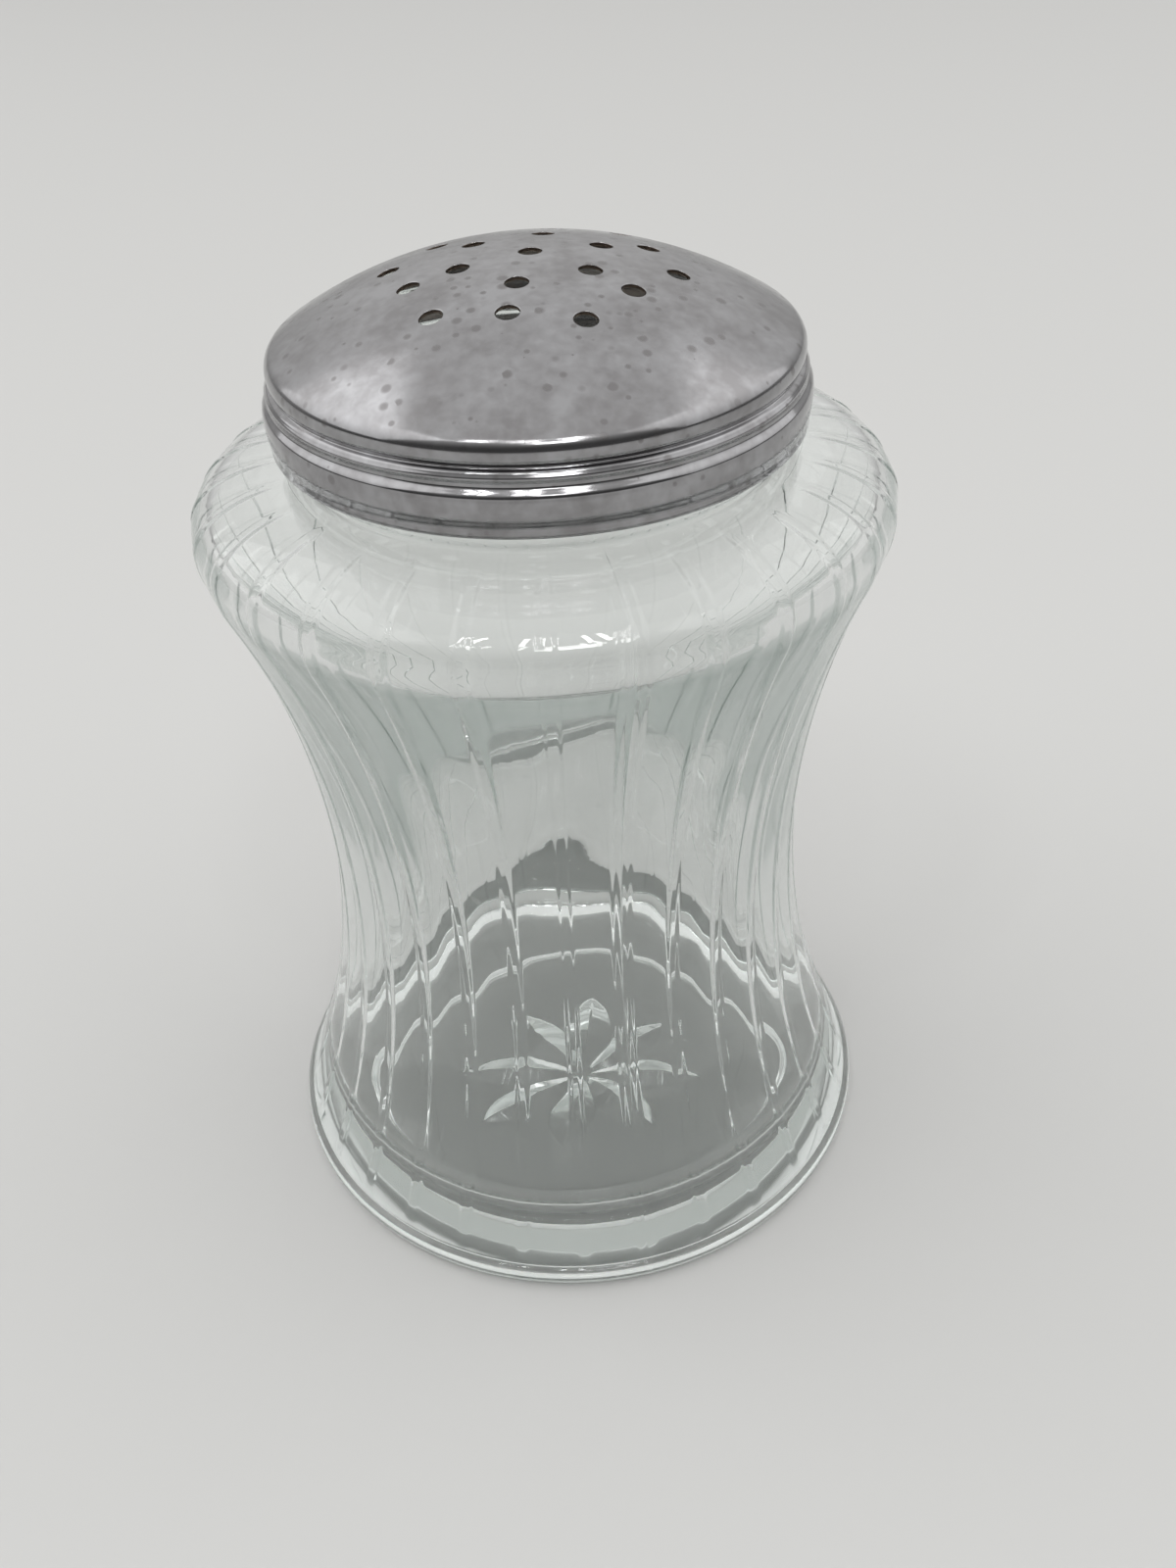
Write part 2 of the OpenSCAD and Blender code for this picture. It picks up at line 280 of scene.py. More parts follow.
def star_depth(radius, turn):
    """How far the glass is cut away above a point of the base."""
    off = np.radians((turn - PETAL_TURN + 180 / PETALS) % (360 / PETALS) - 180 / PETALS)
    along = radius * np.cos(off) - PETAL_START - PETAL_LENGTH / 2
    across = np.abs(radius * np.sin(off))
    edge = np.sqrt(np.maximum(petal_bow**2 - along**2, 0.0)) - petal_bow + PETAL_W / 2
    return PETAL_DEPTH * np.maximum(edge - across, 0.0) / (PETAL_W / 2)


deepest = star_depth(np.array(petal_middle), np.array(PETAL_TURN))
print("star: deepest cut", round(float(deepest), 2), "mm")

# %% [markdown]
# The neck carries a thread of a turn and a half. It is a rounded bead that follows a helix and sinks
# into the neck at both ends. A swept curve would have to be joined to the neck. Raising the neck's own
# rows leaves no joint, and the bead stays inside the lid's groove, so the lid lifts off without cutting
# it.

# %% Thread on the neck
THREAD_Z, THREAD_PITCH, THREAD_START, THREAD_END = 112.6, 4.6, 30.0, 520.0
THREAD_H, THREAD_HALF_W, THREAD_FADE, THREAD_ROUND = 0.85, 1.25, 25.0, 0.75


def thread_height(turn, height):
    """Height of the bead on the neck at a direction and a height."""
    rise = np.zeros(np.broadcast(turn, height).shape)
    for lap in range(2):
        run = (turn - THREAD_START) % 360 + 360 * lap
        off = (height - THREAD_Z - THREAD_PITCH * run / 360) / THREAD_HALF_W
        fade = smooth(run / THREAD_FADE) * smooth((THREAD_END - run) / THREAD_FADE)
        rise = np.maximum(rise, fade * THREAD_H * np.clip(1.0 - off**2, 0.0, 1.0) ** THREAD_ROUND)
    return rise


print("thread crest radius", NECK_R + THREAD_H, "mm")

# %% [markdown]
# No mould shapes the inside of a blown jar, so it is never quite round. A few slow waves, a fraction of
# a millimetre high, and a faint echo of the ribs give the soft streaks that a perfect surface would
# lack. Each wave is a height, a count around the jar, a slope along it and a start, so nothing is left
# to chance.

# %% Waves of the inside
RIB_ECHO = 0.015
WAVES = ((0.15, 2, 0.050, 0.7), (0.11, 3, -0.080, 2.1), (0.07, 5, 0.130, 4.0), (0.04, 9, -0.210, 1.0))


def inner_wave(turn, height):
    """How far the inside bulges outward at a direction and a height."""
    a = np.radians(turn)
    bulge = RIB_ECHO * np.cos(RIBS * (a - math.radians(RIB_TURN)))
    for size, laps, slope, start in WAVES:
        bulge = bulge + size * np.sin(laps * a + slope * height + start)
    return bulge


print("highest wave", round(float(inner_wave(turns, 60.0).max()), 2), "mm")

# %% [markdown]
# A rib doesn't start at full height: it rises out of the glass above the foot and sinks again before
# the neck. So each row has a weight for the ribs, one for the flattened panels and one for the seam's
# line, which also crosses the foot. The outline's normal gives the direction in which a rib stands out.

# %% Where ribs and panels act
RIB_FADE, RIB_END = 5.0, 2.6
SEAM_START_Z = 0.6

rows = np.array([p for part in outside.values() for p in part] + inside)
part_of = np.array([name for name, part in outside.items() for p in part] + ["inside"] * len(inside))
tangent = np.gradient(rows, axis=0)
normal = np.stack([tangent[:, 1], -tangent[:, 0]], 1) / np.linalg.norm(tangent, axis=1)[:, None]

body = np.flatnonzero(part_of == "body")
run = np.concatenate([[0.0], np.cumsum(np.linalg.norm(np.diff(rows[body], axis=0), axis=1))])
rib_end = np.interp(-(NECK_R + RIB_END), -rows[body[-CROWN_ROWS:], 0], run[-CROWN_ROWS:])
rib_weight, panel_weight = np.zeros(len(rows)), np.zeros(len(rows))
rib_weight[body] = smooth(np.minimum(run, rib_end - run) / RIB_FADE)
panel_weight[body] = smooth(np.minimum(run, rib_end - run) / (2 * RIB_FADE))
seam_weight = np.isin(part_of, ["body", "foot"]) * smooth(rows[:, 1] - SEAM_START_Z)
print("jar rows:", len(rows), "; ribs end at", round(float(rib_end), 1), "mm along the body")

# %% [markdown]
# Now the rows meet the columns. Every row starts as a circle, and then the ribs push it out along the
# outline's own normal, the panels draw it in, and the star, the thread and the waves are added where
# they belong.

# %% Rows pressed into shape
RIB_H, SEAM_LINE_H, PANEL_FLAT = 0.14, 0.10, 0.10
WAVE_RISE, WAVE_END, WAVE_FALL = 6.0, 4.0, 8.0

push = RIB_H * rib_weight[:, None] * rib_shape + SEAM_LINE_H * seam_weight[:, None] * seam_shape
radius = rows[:, :1] * (1.0 + PANEL_FLAT * panel_weight[:, None] * panel_shape) + push * normal[:, :1]
height = rows[:, 1:] + push * normal[:, 1:]
star_rows, neck_rows, inner_rows = part_of == "star", part_of == "neck", part_of == "inside"
height[star_rows] += star_depth(rows[star_rows, :1], turns)
radius[neck_rows] += thread_height(turns, rows[neck_rows, 1:])
inner_z = rows[inner_rows, 1:]
wave_share = smooth((inner_z - FLOOR_Z) / WAVE_RISE)
wave_share *= smooth((shoulder_top - WAVE_END - inner_z) / WAVE_FALL)
radius[inner_rows] += wave_share * inner_wave(turns, inner_z)
print("highest push", round(float(push.max()), 2), "mm")

# %% [markdown]
# A turned skin is a grid of quads that closes on itself, and where its line ends on the axis, a fan of
# triangles closes it. Every piece is made from plain lists of points and faces, so no modifier is left
# to be applied.

# %% Skin helpers
def grid_faces(row_count, column_count):
    """Quads between neighbouring rows, closed around the axis."""
    index = np.arange(row_count * column_count).reshape(row_count, column_count)
    after = np.roll(index, -1, axis=1)
    quads = np.stack([index[:-1], after[:-1], after[1:], index[1:]], -1)
    return quads.reshape(-1, 4).tolist()


def fan_faces(ring, middle, flip):
    """Triangles from a ring to a point on the axis."""
    pairs = zip(ring, np.roll(ring, -1))
    return [(int(b), int(a), middle) if flip else (int(a), int(b), middle) for a, b in pairs]


def piece(name, points, faces):
    """A smooth mesh object from points in millimetres."""
    mesh = bpy.data.meshes.new(name)
    mesh.from_pydata((np.asarray(points) * MM).tolist(), [], faces)
    mesh.validate()
    mesh.shade_smooth()
    obj = bpy.data.objects.new(name, mesh)
    bpy.context.scene.collection.objects.link(obj)
    return obj


print("skin helpers ready")

# %% [markdown]
# The jar is one closed skin from the middle of the base, over the rim, to the middle of the floor. Two
# separate shells would look alike from outside, but light only bends rightly where glass has a clear
# inside and outside.

# %% Jar
around = np.radians(turns)
count = len(turns)
level = np.broadcast_to(height, radius.shape)
points = np.stack([radius * np.cos(around), radius * np.sin(around), level], -1).reshape(-1, 3)
points = np.concatenate([points, [[0, 0, RECESS_DEPTH], [0, 0, FLOOR_Z]]])
faces = grid_faces(len(rows), count)
faces += fan_faces(np.arange(count), len(points) - 2, True)
faces += fan_faces((len(rows) - 1) * count + np.arange(count), len(points) - 1, False)
jar = piece("shaker_jar", points, faces)
print("jar:", len(jar.data.vertices), "points,", len(jar.data.polygons), "faces")

# %% [markdown]
# The lid's dome is part of a sphere with 19 punched holes: one in the middle, six around it and twelve
# in an outer hexagon. Cutting them with Boolean modifiers leaves ragged faces that bright metal shows
# at once. So the dome is triangulated in plan with the holes left out, lifted onto the sphere, and each
# hole gets its own rounded edge.

# %% Lid values and hole places
DOME_R, SHEET = 57.0, 0.5
LIP_CURVE, LIP_OUT, GROOVE_R = 2.2, 0.5, 30.8
SEAT_GAP = 0.3
HOLE_R, INNER_RING, OUTER_RING, HOLE_TURN = 1.35, 8.6, 16.7, 19.0

rest_r = DOME_R - SHEET - rim_round - SEAT_GAP
dome_z = rim_z - rim_round - math.sqrt(rest_r**2 - (NECK_R - rim_round) ** 2)
dome_centre = np.array([0.0, 0.0, dome_z])
hole_places = [(0.0, 0.0)]
for i in range(6):
    hole_places += [
        (INNER_RING, HOLE_TURN + 60 * i),
        (OUTER_RING * math.cos(math.radians(30)), HOLE_TURN + 60 * i),
        (OUTER_RING, HOLE_TURN + 30 + 60 * i),
    ]
print("holes:", len(hole_places), "; top of the dome", round(dome_z + DOME_R, 2), "mm")

# %% [markdown]
# Around each hole lie rings of points: on the dome, over the rounded edge that the punch leaves, down
# the thickness of the sheet and out again underneath. A Bevel modifier could round the edge, but not
# with the same rings in each hole. They are set on the sphere itself, square to it at the hole's own
# place.

# %% Rings of a hole
HOLE_POINTS, APRON = 40, 0.7
HOLE_STEPS = (
    (0.15, 0.0), (0.07, 0.012), (0.02, 0.05), (0.0, 0.12),
    (0.0, 0.42), (0.05, SHEET), (0.15, SHEET),
)


def hole_ring(place, out, depth):
    """Points of a ring around a hole, out from its edge and down from the dome's face."""
    ring, turn = place
    lean, t = math.asin(ring / DOME_R), math.radians(turn)
    square = np.array([math.sin(lean) * math.cos(t), math.sin(lean) * math.sin(t), math.cos(lean)])
    side = np.array([-math.sin(t), math.cos(t), 0.0])
    up = np.cross(side, square)
    round_hole = np.arange(HOLE_POINTS) / HOLE_POINTS * 2 * math.pi
    spread = (HOLE_R + out) / DOME_R
    reach = math.cos(spread) * square + math.sin(spread) * (
        np.cos(round_hole)[:, None] * up + np.sin(round_hole)[:, None] * side
    )
    return dome_centre + (DOME_R - depth) * reach


print("rings per hole:", len(HOLE_STEPS) + 2)

# %% [markdown]
# Between the holes the plan is filled with an even triangular lattice, so that the smooth shading of
# the dome stays even. A spot of the lattice is left out where it would crowd a hole or the outer ring.

# %% Points of the dome in plan
LID_COLUMNS, PLATE_R, LATTICE = 192, 22.0, 1.15
RING_ROOM, HOLE_ROOM = 0.6 * LATTICE, 0.55 * LATTICE

lid_a = np.arange(LID_COLUMNS) / LID_COLUMNS * 2 * math.pi
plan = [tuple(p) for p in np.stack([PLATE_R * np.cos(lid_a), PLATE_R * np.sin(lid_a)], 1)]
plan_edges = [(i, (i + 1) % LID_COLUMNS) for i in range(LID_COLUMNS)]
aprons = [hole_ring(place, APRON, 0.0) for place in hole_places]
for apron in aprons:
    first = len(plan)
    plan += [tuple(p[:2]) for p in apron]
    plan_edges += [(first + i, first + (i + 1) % HOLE_POINTS) for i in range(HOLE_POINTS)]
fixed = len(plan)
hole_middles = np.array([apron[:, :2].mean(0) for apron in aprons])
rank = int(PLATE_R / LATTICE) + 2
for i in range(-2 * rank, 2 * rank + 1):
    for j in range(-rank, rank + 1):
        spot = np.array([LATTICE * (i + 0.5 * (j % 2)), LATTICE * math.sqrt(0.75) * j])
        gap = np.linalg.norm(hole_middles - spot, axis=1).min() - HOLE_R - APRON
        if np.linalg.norm(spot) < PLATE_R - RING_ROOM and gap > HOLE_ROOM:
            plan.append(tuple(spot))
print("dome plan:", len(plan), "points,", fixed, "of them on rings")

# %% [markdown]
# A constrained Delaunay triangulation joins the lattice, the hole rings and the outer ring, and keeps
# their edges. It also fills the holes. A triangle whose three points lie on one hole's ring is such a
# filling, and is dropped.

# %% Triangles of the dome
_, _, triangles, source, _, _ = delaunay_2d_cdt([Vector(p) for p in plan], plan_edges, [], 0, 1e-6)
home = [s[0] for s in source]
triangles = [[home[v] for v in t] for t in triangles]


def hole_of(point):
    """The hole whose ring holds a point of the plan, or else a number of the point's own."""
    on_ring = LID_COLUMNS <= point < fixed
    return (point - LID_COLUMNS) // HOLE_POINTS if on_ring else -1 - point


triangles = [t for t in triangles if len({hole_of(v) for v in t}) > 1]
print("dome:", len(triangles), "triangles")

# %% [markdown]
# Below the dome the sheet is spun and rolled: a rounded lip, a fine groove under it, a narrow bead,
# then the sloped top of the wide lower bead. Chrome shows every change of angle as a line of light or
# dark. A spline through the stops would swing past them, so each stretch eases from one stop to the
# next.

# %% Skirt of the lid
SKIRT_GAP, HEM_R, HEM_TOP = 2.4, 0.35, 1.7

lip_r = GROOVE_R + LIP_OUT - LIP_CURVE
lip_z = dome_z + math.sqrt((DOME_R - LIP_CURVE) ** 2 - lip_r**2)
lip_start = math.degrees(math.atan2(lip_z - dome_z, lip_r))
lip_end = -math.degrees(math.acos((LIP_CURVE - LIP_OUT) / LIP_CURVE))
groove_z = lip_z + LIP_CURVE * math.sin(math.radians(lip_end))
edge_z = shoulder_top + SKIRT_GAP
SKIRT_STOPS = (
    (30.80, groove_z),
    (31.40, groove_z - 0.35),
    (31.70, groove_z - 0.85),
    (31.52, groove_z - 1.55),
    (31.50, groove_z - 1.80),
    (32.18, groove_z - 2.65),
    (32.30, groove_z - 3.45),
    (32.22, groove_z - 5.00),
    (31.98, groove_z - 6.30),
    (31.95, edge_z + HEM_R),
)


def eased(stops, steps):
    """A line through stops, each stretch half straight and half eased."""
    made = []
    for (r0, z0), (r1, z1) in zip(stops, stops[1:]):
        for i in range(1, steps + 1):
            t = i / steps
            made.append((r0 + (r1 - r0) * (0.5 * t + 0.5 * float(smooth(t))), z0 + (z1 - z0) * t))
    return made


skirt = eased(SKIRT_STOPS, 4)
print("skirt from", round(groove_z, 1), "down to", round(edge_z, 1), "mm")

# %% [markdown]
# The lower edge is folded back inside, which hides the raw cut of the sheet. From there the line climbs
# again half a millimetre further in, so the lid is a real sheet with two faces and can be looked into
# when it is lifted.

# %% Lid outline
plate_a = math.degrees(math.acos(PLATE_R / DOME_R))
hem = arc((31.60, edge_z + HEM_R), HEM_R, 0, -180, 8)[1:]
hem += [(31.25, edge_z + 0.7), (31.20, edge_z + 1.1), (31.33, edge_z + 1.25), (31.44, edge_z + 1.15)]
skirt_in = [(r - SHEET, z) for r, z in reversed(skirt) if z > edge_z + HEM_TOP]
lip_in = arc((lip_r, lip_z), LIP_CURVE - SHEET, lip_end, lip_start, 10)
dome_in = arc((0, dome_z), DOME_R - SHEET, lip_start, plate_a, 8)[1:]
lid_line = (
    arc((0, dome_z), DOME_R, plate_a, lip_start, 8)
    + arc((lip_r, lip_z), LIP_CURVE, lip_start, lip_end, 14)[1:]
    + skirt + hem + skirt_in + lip_in + dome_in
)
print("lid rows:", len(lid_line), "; widest", max(r for r, z in lid_line), "mm")

# %% [markdown]
# The lid's skin is sewn together from four parts. First come the plate with its holes on top, the same
# plate underneath, and the edges of the holes between them.

# %% Plates and hole edges
plan_xy = np.array(plan)
top = np.column_stack([plan_xy, dome_z + np.sqrt(DOME_R**2 - (plan_xy**2).sum(1))])
low = dome_centre + (top - dome_centre) * ((DOME_R - SHEET) / DOME_R)
lid_points = [top, low]
shift = len(plan)
lid_faces = [list(t) for t in triangles] + [[v + shift for v in reversed(t)] for t in triangles]
total = 2 * shift
ring = np.arange(HOLE_POINTS)
for k, place in enumerate(hole_places):
    rings = [LID_COLUMNS + k * HOLE_POINTS + ring]
    for out, depth in HOLE_STEPS:
        lid_points.append(hole_ring(place, out, depth))
        rings.append(total + ring)
        total += HOLE_POINTS
    rings.append(rings[0] + shift)
    for outer, inner in zip(rings, rings[1:]):
        lid_faces += np.stack([outer, np.roll(outer, -1), np.roll(inner, -1), inner], 1).tolist()
print("plates:", total, "points")

# %% [markdown]
# The fourth part is the turned skirt, which shares its first and last ring with the two plates. Joined
# by shared points and not by a merge afterwards, the sheet is closed for certain.

# %% Lid
turned = np.array(lid_line[1:-1])
turned_z = np.broadcast_to(turned[:, 1:], (len(turned), LID_COLUMNS))
turned_x, turned_y = turned[:, :1] * np.cos(lid_a), turned[:, :1] * np.sin(lid_a)
lid_points.append(np.stack([turned_x, turned_y, turned_z], -1).reshape(-1, 3))
band = np.arange(LID_COLUMNS)
bands = [band] + [total + i * LID_COLUMNS + band for i in range(len(turned))] + [band + shift]
for upper, lower in zip(bands, bands[1:]):
    lid_faces += np.stack([upper, lower, np.roll(lower, -1), np.roll(upper, -1)], 1).tolist()
lid = piece("shaker_lid", np.concatenate(lid_points), lid_faces)
print("lid:", len(lid.data.vertices), "points,", len(lid.data.polygons), "faces")

# %% [markdown]
# The lid is bright outside and painted dark inside as painted shade. Two materials would need a sharp
# border along the hem and in every hole. A number on each point does the same with one material:
# 0 outside, 1 inside.

# %% Inside of the lid
EDGE_DEPTH = 0.1

hole_inside = np.repeat([depth > EDGE_DEPTH for out, depth in HOLE_STEPS], HOLE_POINTS)
first_in = len(lid_line) - len(skirt_in + lip_in + dome_in) - 1
band_inside = np.repeat(np.arange(len(turned)) >= first_in, LID_COLUMNS)
plate_inside = np.repeat([0, 1], shift)
holes_inside = np.tile(hole_inside, len(hole_places))
is_inside = np.concatenate([plate_inside, holes_inside, band_inside]).astype(np.float32)
lid.data.attributes.new("inside", "FLOAT", "POINT").data.foreach_set("value", is_inside)
print("points inside the lid:", int(is_inside.sum()))

# %% [markdown]
# Both pieces replace their plain solids. The jar's solid comes in three stacked parts, and one piece of
# glass stands for them all. The jar rides on the jar's body and the lid on its own, so that the lid
# lifts off with everything that is punched and rolled into it.

# %% Pieces on their bodies
for made, nodes, body_name, finish_slot in (
    (jar, ("jar_base", "jar_wall", "jar_crown"), "jar", "glass"),
    (lid, ("lid",), "lid", "chrome"),
):
    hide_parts(*nodes)
    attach(made, body_name)
print("jar and lid stand for", list(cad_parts))

# %% [markdown]
# The finishes are built from shader nodes. Nodes could be placed by hand in the editor. In a script, a
# few helpers that add a node, give it values and link it keep each finish short enough to read.

# %% Node helpers
def add_node(tree, kind, values=(), links=()):
    """A node with socket values by name and links from other sockets."""
    node = tree.nodes.new(kind)
    for label, value in dict(values).items():
        node.inputs[label].default_value = value
    for label, socket in dict(links).items():
        tree.links.new(socket, node.inputs[label])
    return node


def math_node(tree, operation, first, second):
    """A Math node; each side is a number or a socket."""
    node = tree.nodes.new("ShaderNodeMath")
    node.operation = operation
    for slot_index, side in enumerate((first, second)):
        if isinstance(side, (int, float)):
            node.inputs[slot_index].default_value = side
        else:
            tree.links.new(side, node.inputs[slot_index])
    return node.outputs[0]


def add_mix(tree, share, first, second):
    """A colour between two; each is a colour or a socket."""
    node = tree.nodes.new("ShaderNodeMix")
    node.data_type = "RGBA"
    tree.links.new(share, node.inputs["Factor"])
    for socket, side in ((node.inputs["A"], first), (node.inputs["B"], second)):
        if isinstance(side, tuple):
            socket.default_value = side
        else:
            tree.links.new(side, socket)
    return node.outputs["Result"]


print("node helpers ready")

# %% [markdown]
# Two effects show on glass and metal alike, so each is a node group that a material places with its own
# values. The first scatters small round specks: pits and painted reflection flecks on the plating, and
# dust on the glass. Each cell of a Voronoi pattern has a random colour. Its red decides whether the cell
# has a speck, and its green how large that is.

# %% Specks group
SMALLEST_SPECK, SPECK_CORE = 0.06, 0.4


def new_group(name, inputs, output):
    """A shader node group with float inputs (name, value) and one float output."""
    group = bpy.data.node_groups.new(name, "ShaderNodeTree")
    for label, value in inputs:
        socket = group.interface.new_socket(label, in_out="INPUT", socket_type="NodeSocketFloat")
        socket.default_value = value
    group.interface.new_socket(output, in_out="OUTPUT", socket_type="NodeSocketFloat")
    return group, group.nodes.new("NodeGroupInput").outputs, group.nodes.new("NodeGroupOutput").inputs


specks, given, result = new_group("specks", (("Scale", 400.0), ("Share", 0.2), ("Size", 0.25)), "Mask")
where = specks.nodes.new("ShaderNodeTexCoord")
cells = add_node(specks, "ShaderNodeTexVoronoi", {"Randomness": 1.0},
                 {"Vector": where.outputs["Object"], "Scale": given["Scale"]})
chance = add_node(specks, "ShaderNodeSeparateColor", (), {"Color": cells.outputs["Color"]})
picked = math_node(specks, "LESS_THAN", chance.outputs["Red"], given["Share"])
size = math_node(specks, "MULTIPLY_ADD", chance.outputs["Green"], given["Size"])
size.node.inputs[2].default_value = SMALLEST_SPECK
spot = add_node(specks, "ShaderNodeMapRange", (), {
    "Value": cells.outputs["Distance"], "From Min": size,
    "From Max": math_node(specks, "MULTIPLY", size, SPECK_CORE)})
spot.interpolation_type = "SMOOTHSTEP"
specks.links.new(math_node(specks, "MULTIPLY", spot.outputs[0], picked), result["Mask"])
print("group", specks.name)

# %% [markdown]
# The second effect is a slow unevenness, which gives chilled glass its ripple and the drawn sheet its
# faint dents and clouds. One noise would be either too smooth or too busy, so a slow one carries a
# share of a fine one. Flatten squeezes both along the height.

# %% Ripple group
FINER = 5.0

ripple, given, result = new_group("ripple", (("Scale", 60.0), ("Flatten", 3.0), ("Fine", 0.3)), "Height")
where = ripple.nodes.new("ShaderNodeTexCoord")
squeeze = add_node(ripple, "ShaderNodeCombineXYZ", {"X": 1.0, "Y": 1.0}, {"Z": given["Flatten"]})
stretched = ripple.nodes.new("ShaderNodeVectorMath")
stretched.operation = "MULTIPLY"
ripple.links.new(where.outputs["Object"], stretched.inputs[0])
ripple.links.new(squeeze.outputs[0], stretched.inputs[1])
slow = add_node(ripple, "ShaderNodeTexNoise", {"Detail": 1.0, "Distortion": 0.4},
                {"Vector": stretched.outputs[0], "Scale": given["Scale"]})
fine_scale = math_node(ripple, "MULTIPLY", given["Scale"], FINER)
fine = add_node(ripple, "ShaderNodeTexNoise", {"Detail": 2.0, "Distortion": 0.2},
                {"Vector": stretched.outputs[0], "Scale": fine_scale})
fine_part = math_node(ripple, "MULTIPLY", fine.outputs[0], given["Fine"])
ripple.links.new(math_node(ripple, "ADD", slow.outputs[0], fine_part), result["Height"])
print("group", ripple.name)

# %% [markdown]
# A new material comes with a Principled BSDF, which is plastic, metal or glass by its values, and with
# an output. Each finish starts there, places the groups that it needs, and asks where on the piece a
# point lies. One finish could be copied and changed into the next, but old nodes would stay behind in
# it. So these three steps are helpers, and each finish is built up by itself.

# %% Material helpers
def new_material(name):
    """A material with its tree, its Principled BSDF and its output."""
    material = bpy.data.materials.new(name)
    material.use_nodes = True
    tree = material.node_tree
    return material, tree, tree.nodes["Principled BSDF"], tree.nodes["Material Output"]


def place_group(tree, group, **values):
    """A node group placed in a material with its own values."""
    node = tree.nodes.new("ShaderNodeGroup")
    node.node_tree = group
    for label, value in values.items():
        node.inputs[label].default_value = value
    return node.outputs[0]


def place_axes(tree):
    """The sockets X, Y and Z of the place on the piece."""
    place = tree.nodes.new("ShaderNodeTexCoord").outputs["Object"]
    return add_node(tree, "ShaderNodeSeparateXYZ", (), {"Vector": place}).outputs


print("material helpers ready")

# %% [markdown]
# The glass is polished by the fire, apart from specks of dust and the pressed recess with its star,
# where the cold mould took a little of the polish. The recess could have a material of its own. A mask
# by place, inside its radius and below the floor, needs no border.

# %% Glass, surface
GLASS_COLOUR, GLASS_IOR = (0.985, 0.995, 0.99, 1.0), 1.5
DUST_DULL, PRESSED_DULL, PRESSED_TOP = 0.12, 0.05, FLOOR_Z - 2.0

glass, tree, shader, output = new_material("clear_glass")
shader.inputs["Base Color"].default_value = GLASS_COLOUR
shader.inputs["Transmission Weight"].default_value = 1.0
shader.inputs["IOR"].default_value = GLASS_IOR
dust = place_group(tree, specks, Scale=260.0, Share=0.10, Size=0.22)
axes = place_axes(tree)
square_x, square_y = (math_node(tree, "POWER", axes[name], 2.0) for name in "XY")
off_axis = math_node(tree, "ADD", square_x, square_y)
in_recess = math_node(tree, "LESS_THAN", off_axis, (RECESS_R * MM) ** 2)
under_base = math_node(tree, "LESS_THAN", axes["Z"], PRESSED_TOP * MM)
pressed = math_node(tree, "MULTIPLY", math_node(tree, "MULTIPLY", in_recess, under_base), PRESSED_DULL)
dull = math_node(tree, "ADD", pressed, math_node(tree, "MULTIPLY", dust, DUST_DULL))
tree.links.new(dull, shader.inputs["Roughness"])
jar.data.materials.append(glass)
print("glass on", jar.name)

# %% [markdown]
# Glass has a faint grey-green cast that only shows where light has run a long way through it. A tinted
# base colour would dye thin and thick glass alike, so the cast is a constant absorption in the volume.
# Light that runs down inside the thick glass is thrown from side to side, and a renderer gives such a
# ray up as black, which no real jar does. So after the third such turn the surface simply lets it out.
# A low bump adds the ripple of glass that was chilled in its mould.

# %% Glass, depth
CAST_COLOUR, CAST_DENSITY = (0.66, 0.71, 0.69, 1.0), 26.0
LAST_MIRROR = 3.5

wave = place_group(tree, ripple, Scale=45.0, Flatten=1.6, Fine=0.02)
bump = add_node(tree, "ShaderNodeBump", {"Strength": 0.25, "Distance": 0.0003}, {"Height": wave})
tree.links.new(bump.outputs["Normal"], shader.inputs["Normal"])
cast = add_node(tree, "ShaderNodeVolumeAbsorption", {"Color": CAST_COLOUR, "Density": CAST_DENSITY})
tree.links.new(cast.outputs["Volume"], output.inputs["Volume"])
turns_made = tree.nodes.new("ShaderNodeLightPath").outputs["Glossy Depth"]
tree.links.new(math_node(tree, "LESS_THAN", turns_made, LAST_MIRROR), shader.inputs["Alpha"])
print("glass absorbs with density", CAST_DENSITY)

# %% [markdown]
# The lid is plated outside and has been wiped for years: there are faint clouds, and small dark specks,
# partly pits where the plating has gone and partly painted reflections of a speckled wall. Inside, the
# metal is painted dark brown as painted shade, which is what shows as dark through the holes. A
# photograph of worn metal could be wrapped around it, but the two groups give the same wear and specks at
# any size.

# %% Chrome, colour
BRIGHT_PLATE, WORN_AND_FLECKED_PLATE = (0.38, 0.38, 0.39, 1.0), (0.17, 0.16, 0.16, 1.0)
# The colour for the inside is painted shade: a dark brown that makes the holes look dark.
INSIDE_SHADE = (0.13, 0.10, 0.08, 1.0)
PIT_AND_FLECK_SHARE, CLOUD_WEAR = 0.7, 0.55
CLOUD_SPAN = {"From Min": 0.62, "From Max": 1.2}

chrome, tree, shader, _ = new_material("worn_chrome_painted_shade")
shader.inputs["Metallic"].default_value = 1.0
# The dark specks are partly pits in the plating and partly painted reflections of a speckled wall.
pits_and_flecks = place_group(tree, specks, Scale=560.0, Share=0.6, Size=0.5)
cloud = place_group(tree, ripple, Scale=130.0, Flatten=1.0, Fine=0.9)
cloudy = add_node(tree, "ShaderNodeMapRange", CLOUD_SPAN, {"Value": cloud}).outputs[0]
pit_and_fleck_part = math_node(tree, "MULTIPLY", pits_and_flecks, PIT_AND_FLECK_SHARE)
wear_and_flecks = math_node(tree, "MAXIMUM", pit_and_fleck_part, math_node(tree, "MULTIPLY", cloudy, CLOUD_WEAR))
plated = add_mix(tree, wear_and_flecks, BRIGHT_PLATE, WORN_AND_FLECKED_PLATE)
# Points inside the lid take the painted shade colour.
inner_side = tree.nodes.new("ShaderNodeAttribute")
inner_side.attribute_name = "inside"
tree.links.new(add_mix(tree, inner_side.outputs["Fac"], plated, INSIDE_SHADE), shader.inputs["Base Color"])
lid.data.materials.append(chrome)
print("chrome on", lid.name)
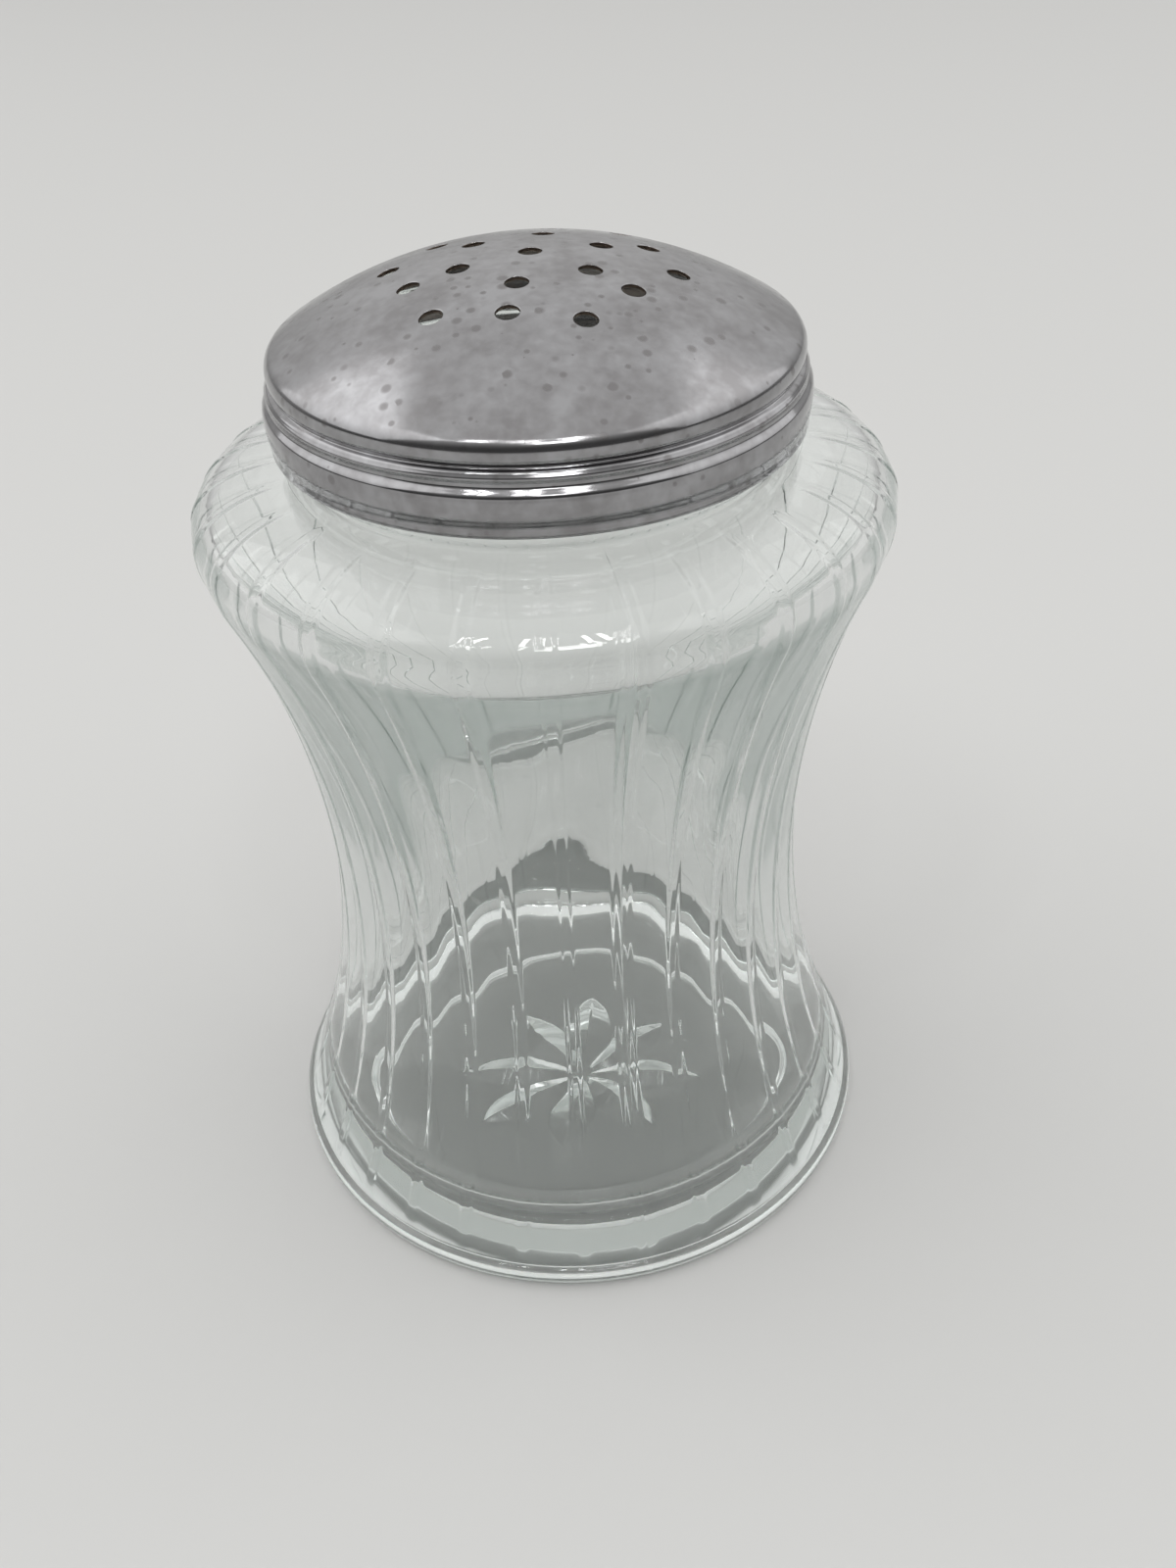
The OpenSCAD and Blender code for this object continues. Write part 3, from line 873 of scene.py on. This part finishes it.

# %% [markdown]
# The dome, which a hand and a cloth touch most, has a fine haze. The rolled skirt is still bright, and
# the inside is dull. So the roughness follows the height from the lip up, grows with the wear and the
# painted flecks, and is never low inside. A very low bump gives the drawn sheet its faint dents.

# %% Chrome, gloss
SKIRT_DULL, DOME_DULL, WEAR_DULL, INSIDE_DULL = 0.07, 0.17, 0.16, 0.45
haze_start, haze_full = (lip_z - 1.0) * MM, (lip_z + 5.0) * MM

on_dome = add_node(
    tree, "ShaderNodeMapRange",
    {"From Min": haze_start, "From Max": haze_full, "To Min": SKIRT_DULL, "To Max": DOME_DULL},
    {"Value": place_axes(tree)["Z"]},
).outputs[0]
hazed = math_node(tree, "ADD", on_dome, math_node(tree, "MULTIPLY", wear_and_flecks, WEAR_DULL))
dull_inside = math_node(tree, "MULTIPLY", inner_side.outputs["Fac"], INSIDE_DULL)
tree.links.new(math_node(tree, "MAXIMUM", hazed, dull_inside), shader.inputs["Roughness"])
dents = place_group(tree, ripple, Scale=90.0, Flatten=1.0, Fine=0.1)
bump = add_node(tree, "ShaderNodeBump", {"Strength": 0.1, "Distance": 0.0002}, {"Height": dents})
tree.links.new(bump.outputs["Normal"], shader.inputs["Normal"])
print("roughness", SKIRT_DULL, "on the skirt,", DOME_DULL, "on the dome")

# %% [markdown]
# A plain pale floor runs far behind the shaker, so it is also the background. It keeps the soft shadow
# that holds the glass to the ground, and it lies a hair below the foot, because two faces in one plane
# would flicker.

# %% Floor
FLOOR_SIZE, FLOOR_DROP = 6.0, 0.0002
FLOOR_COLOUR = (0.62, 0.62, 0.61, 1.0)

floor_mesh = bpy.data.meshes.new("floor")
floor_signs = ((-1, -1), (1, -1), (1, 1), (-1, 1))
floor_corners = [(x * FLOOR_SIZE / 2, y * FLOOR_SIZE / 2, -FLOOR_DROP) for x, y in floor_signs]
floor_mesh.from_pydata(floor_corners, [], [(0, 1, 2, 3)])
floor = bpy.data.objects.new("floor", floor_mesh)
bpy.context.scene.collection.objects.link(floor)
paper, _, shader, _ = new_material("pale_floor")
shader.inputs["Roughness"].default_value = 0.8
shader.inputs["Base Color"].default_value = FLOOR_COLOUR
floor_mesh.materials.append(paper)
print("floor", FLOOR_SIZE, "m wide")

# %% [markdown]
# Glass and chrome show the room more than themselves, so the lamps are chosen by what they look like as
# well as by what they light. Two large soft boxes at the sides light the ground. A window behind the
# camera and six narrow strips above it give the strokes of light along the shoulder and the skirt.

# %% Lamps
STRIP_TURNS, STRIP_UP, STRIP_FAR = (-38, -31, -13, -5, 14, 20), 57.0, 1.5
AIM = Vector((0.0, 0.0, 0.07))


def soft_light(name, place, size, power):
    """An area light at a place in metres, turned to the shaker."""
    lamp = bpy.data.lights.new(name, "AREA")
    lamp.shape = "RECTANGLE"
    lamp.size, lamp.size_y = size
    lamp.energy = power
    obj = bpy.data.objects.new(name, lamp)
    bpy.context.scene.collection.objects.link(obj)
    obj.location = place
    obj.rotation_euler = (AIM - Vector(place)).to_track_quat("-Z", "Y").to_euler()


soft_light("window", place=(0.10, -0.95, 1.00), size=(0.34, 0.16), power=1.4)
soft_light("left_box", place=(-1.35, 0.15, 1.05), size=(2.2, 1.6), power=9.5)
soft_light("right_box", place=(1.35, 0.00, 1.00), size=(2.2, 1.6), power=7.5)
up = math.radians(STRIP_UP)
for number, turn in enumerate(STRIP_TURNS):
    a = math.radians(turn)
    towards_strip = Vector((math.sin(a) * math.cos(up), -math.cos(a) * math.cos(up), math.sin(up)))
    soft_light(f"strip_{number}", place=STRIP_FAR * towards_strip, size=(0.03, 0.30), power=0.5)

# %% [markdown]
# The room is bright overhead and behind the shaker, and dim low down on the camera's side. That gives
# the dome its even grey, and draws the dark lines on the beads and at the edges of the glass. An even
# room would make both look flat. The view is set to Standard, so a colour is shown as it is written.

# %% Room
BRIGHT_SIDE, ROOM_COLOUR = (0.0, 0.4, 0.92), (1.0, 0.995, 0.985, 1.0)
ROOM_STEPS = {"From Min": -0.1, "From Max": 0.9, "To Min": 0.10, "To Max": 0.9}

world = bpy.data.worlds.new("room")
bpy.context.scene.world = world
world.use_nodes = True
tree = world.node_tree
direction = tree.nodes.new("ShaderNodeTexCoord")
towards = tree.nodes.new("ShaderNodeVectorMath")
towards.operation = "DOT_PRODUCT"
towards.inputs[1].default_value = BRIGHT_SIDE
tree.links.new(direction.outputs["Generated"], towards.inputs[0])
rise = add_node(tree, "ShaderNodeMapRange", ROOM_STEPS, {"Value": towards.outputs["Value"]})
rise.interpolation_type = "SMOOTHSTEP"
tree.links.new(rise.outputs[0], tree.nodes["Background"].inputs["Strength"])
tree.nodes["Background"].inputs["Color"].default_value = ROOM_COLOUR
bpy.context.scene.view_settings.view_transform = "Standard"
print("room from", ROOM_STEPS["To Min"], "to", ROOM_STEPS["To Max"])
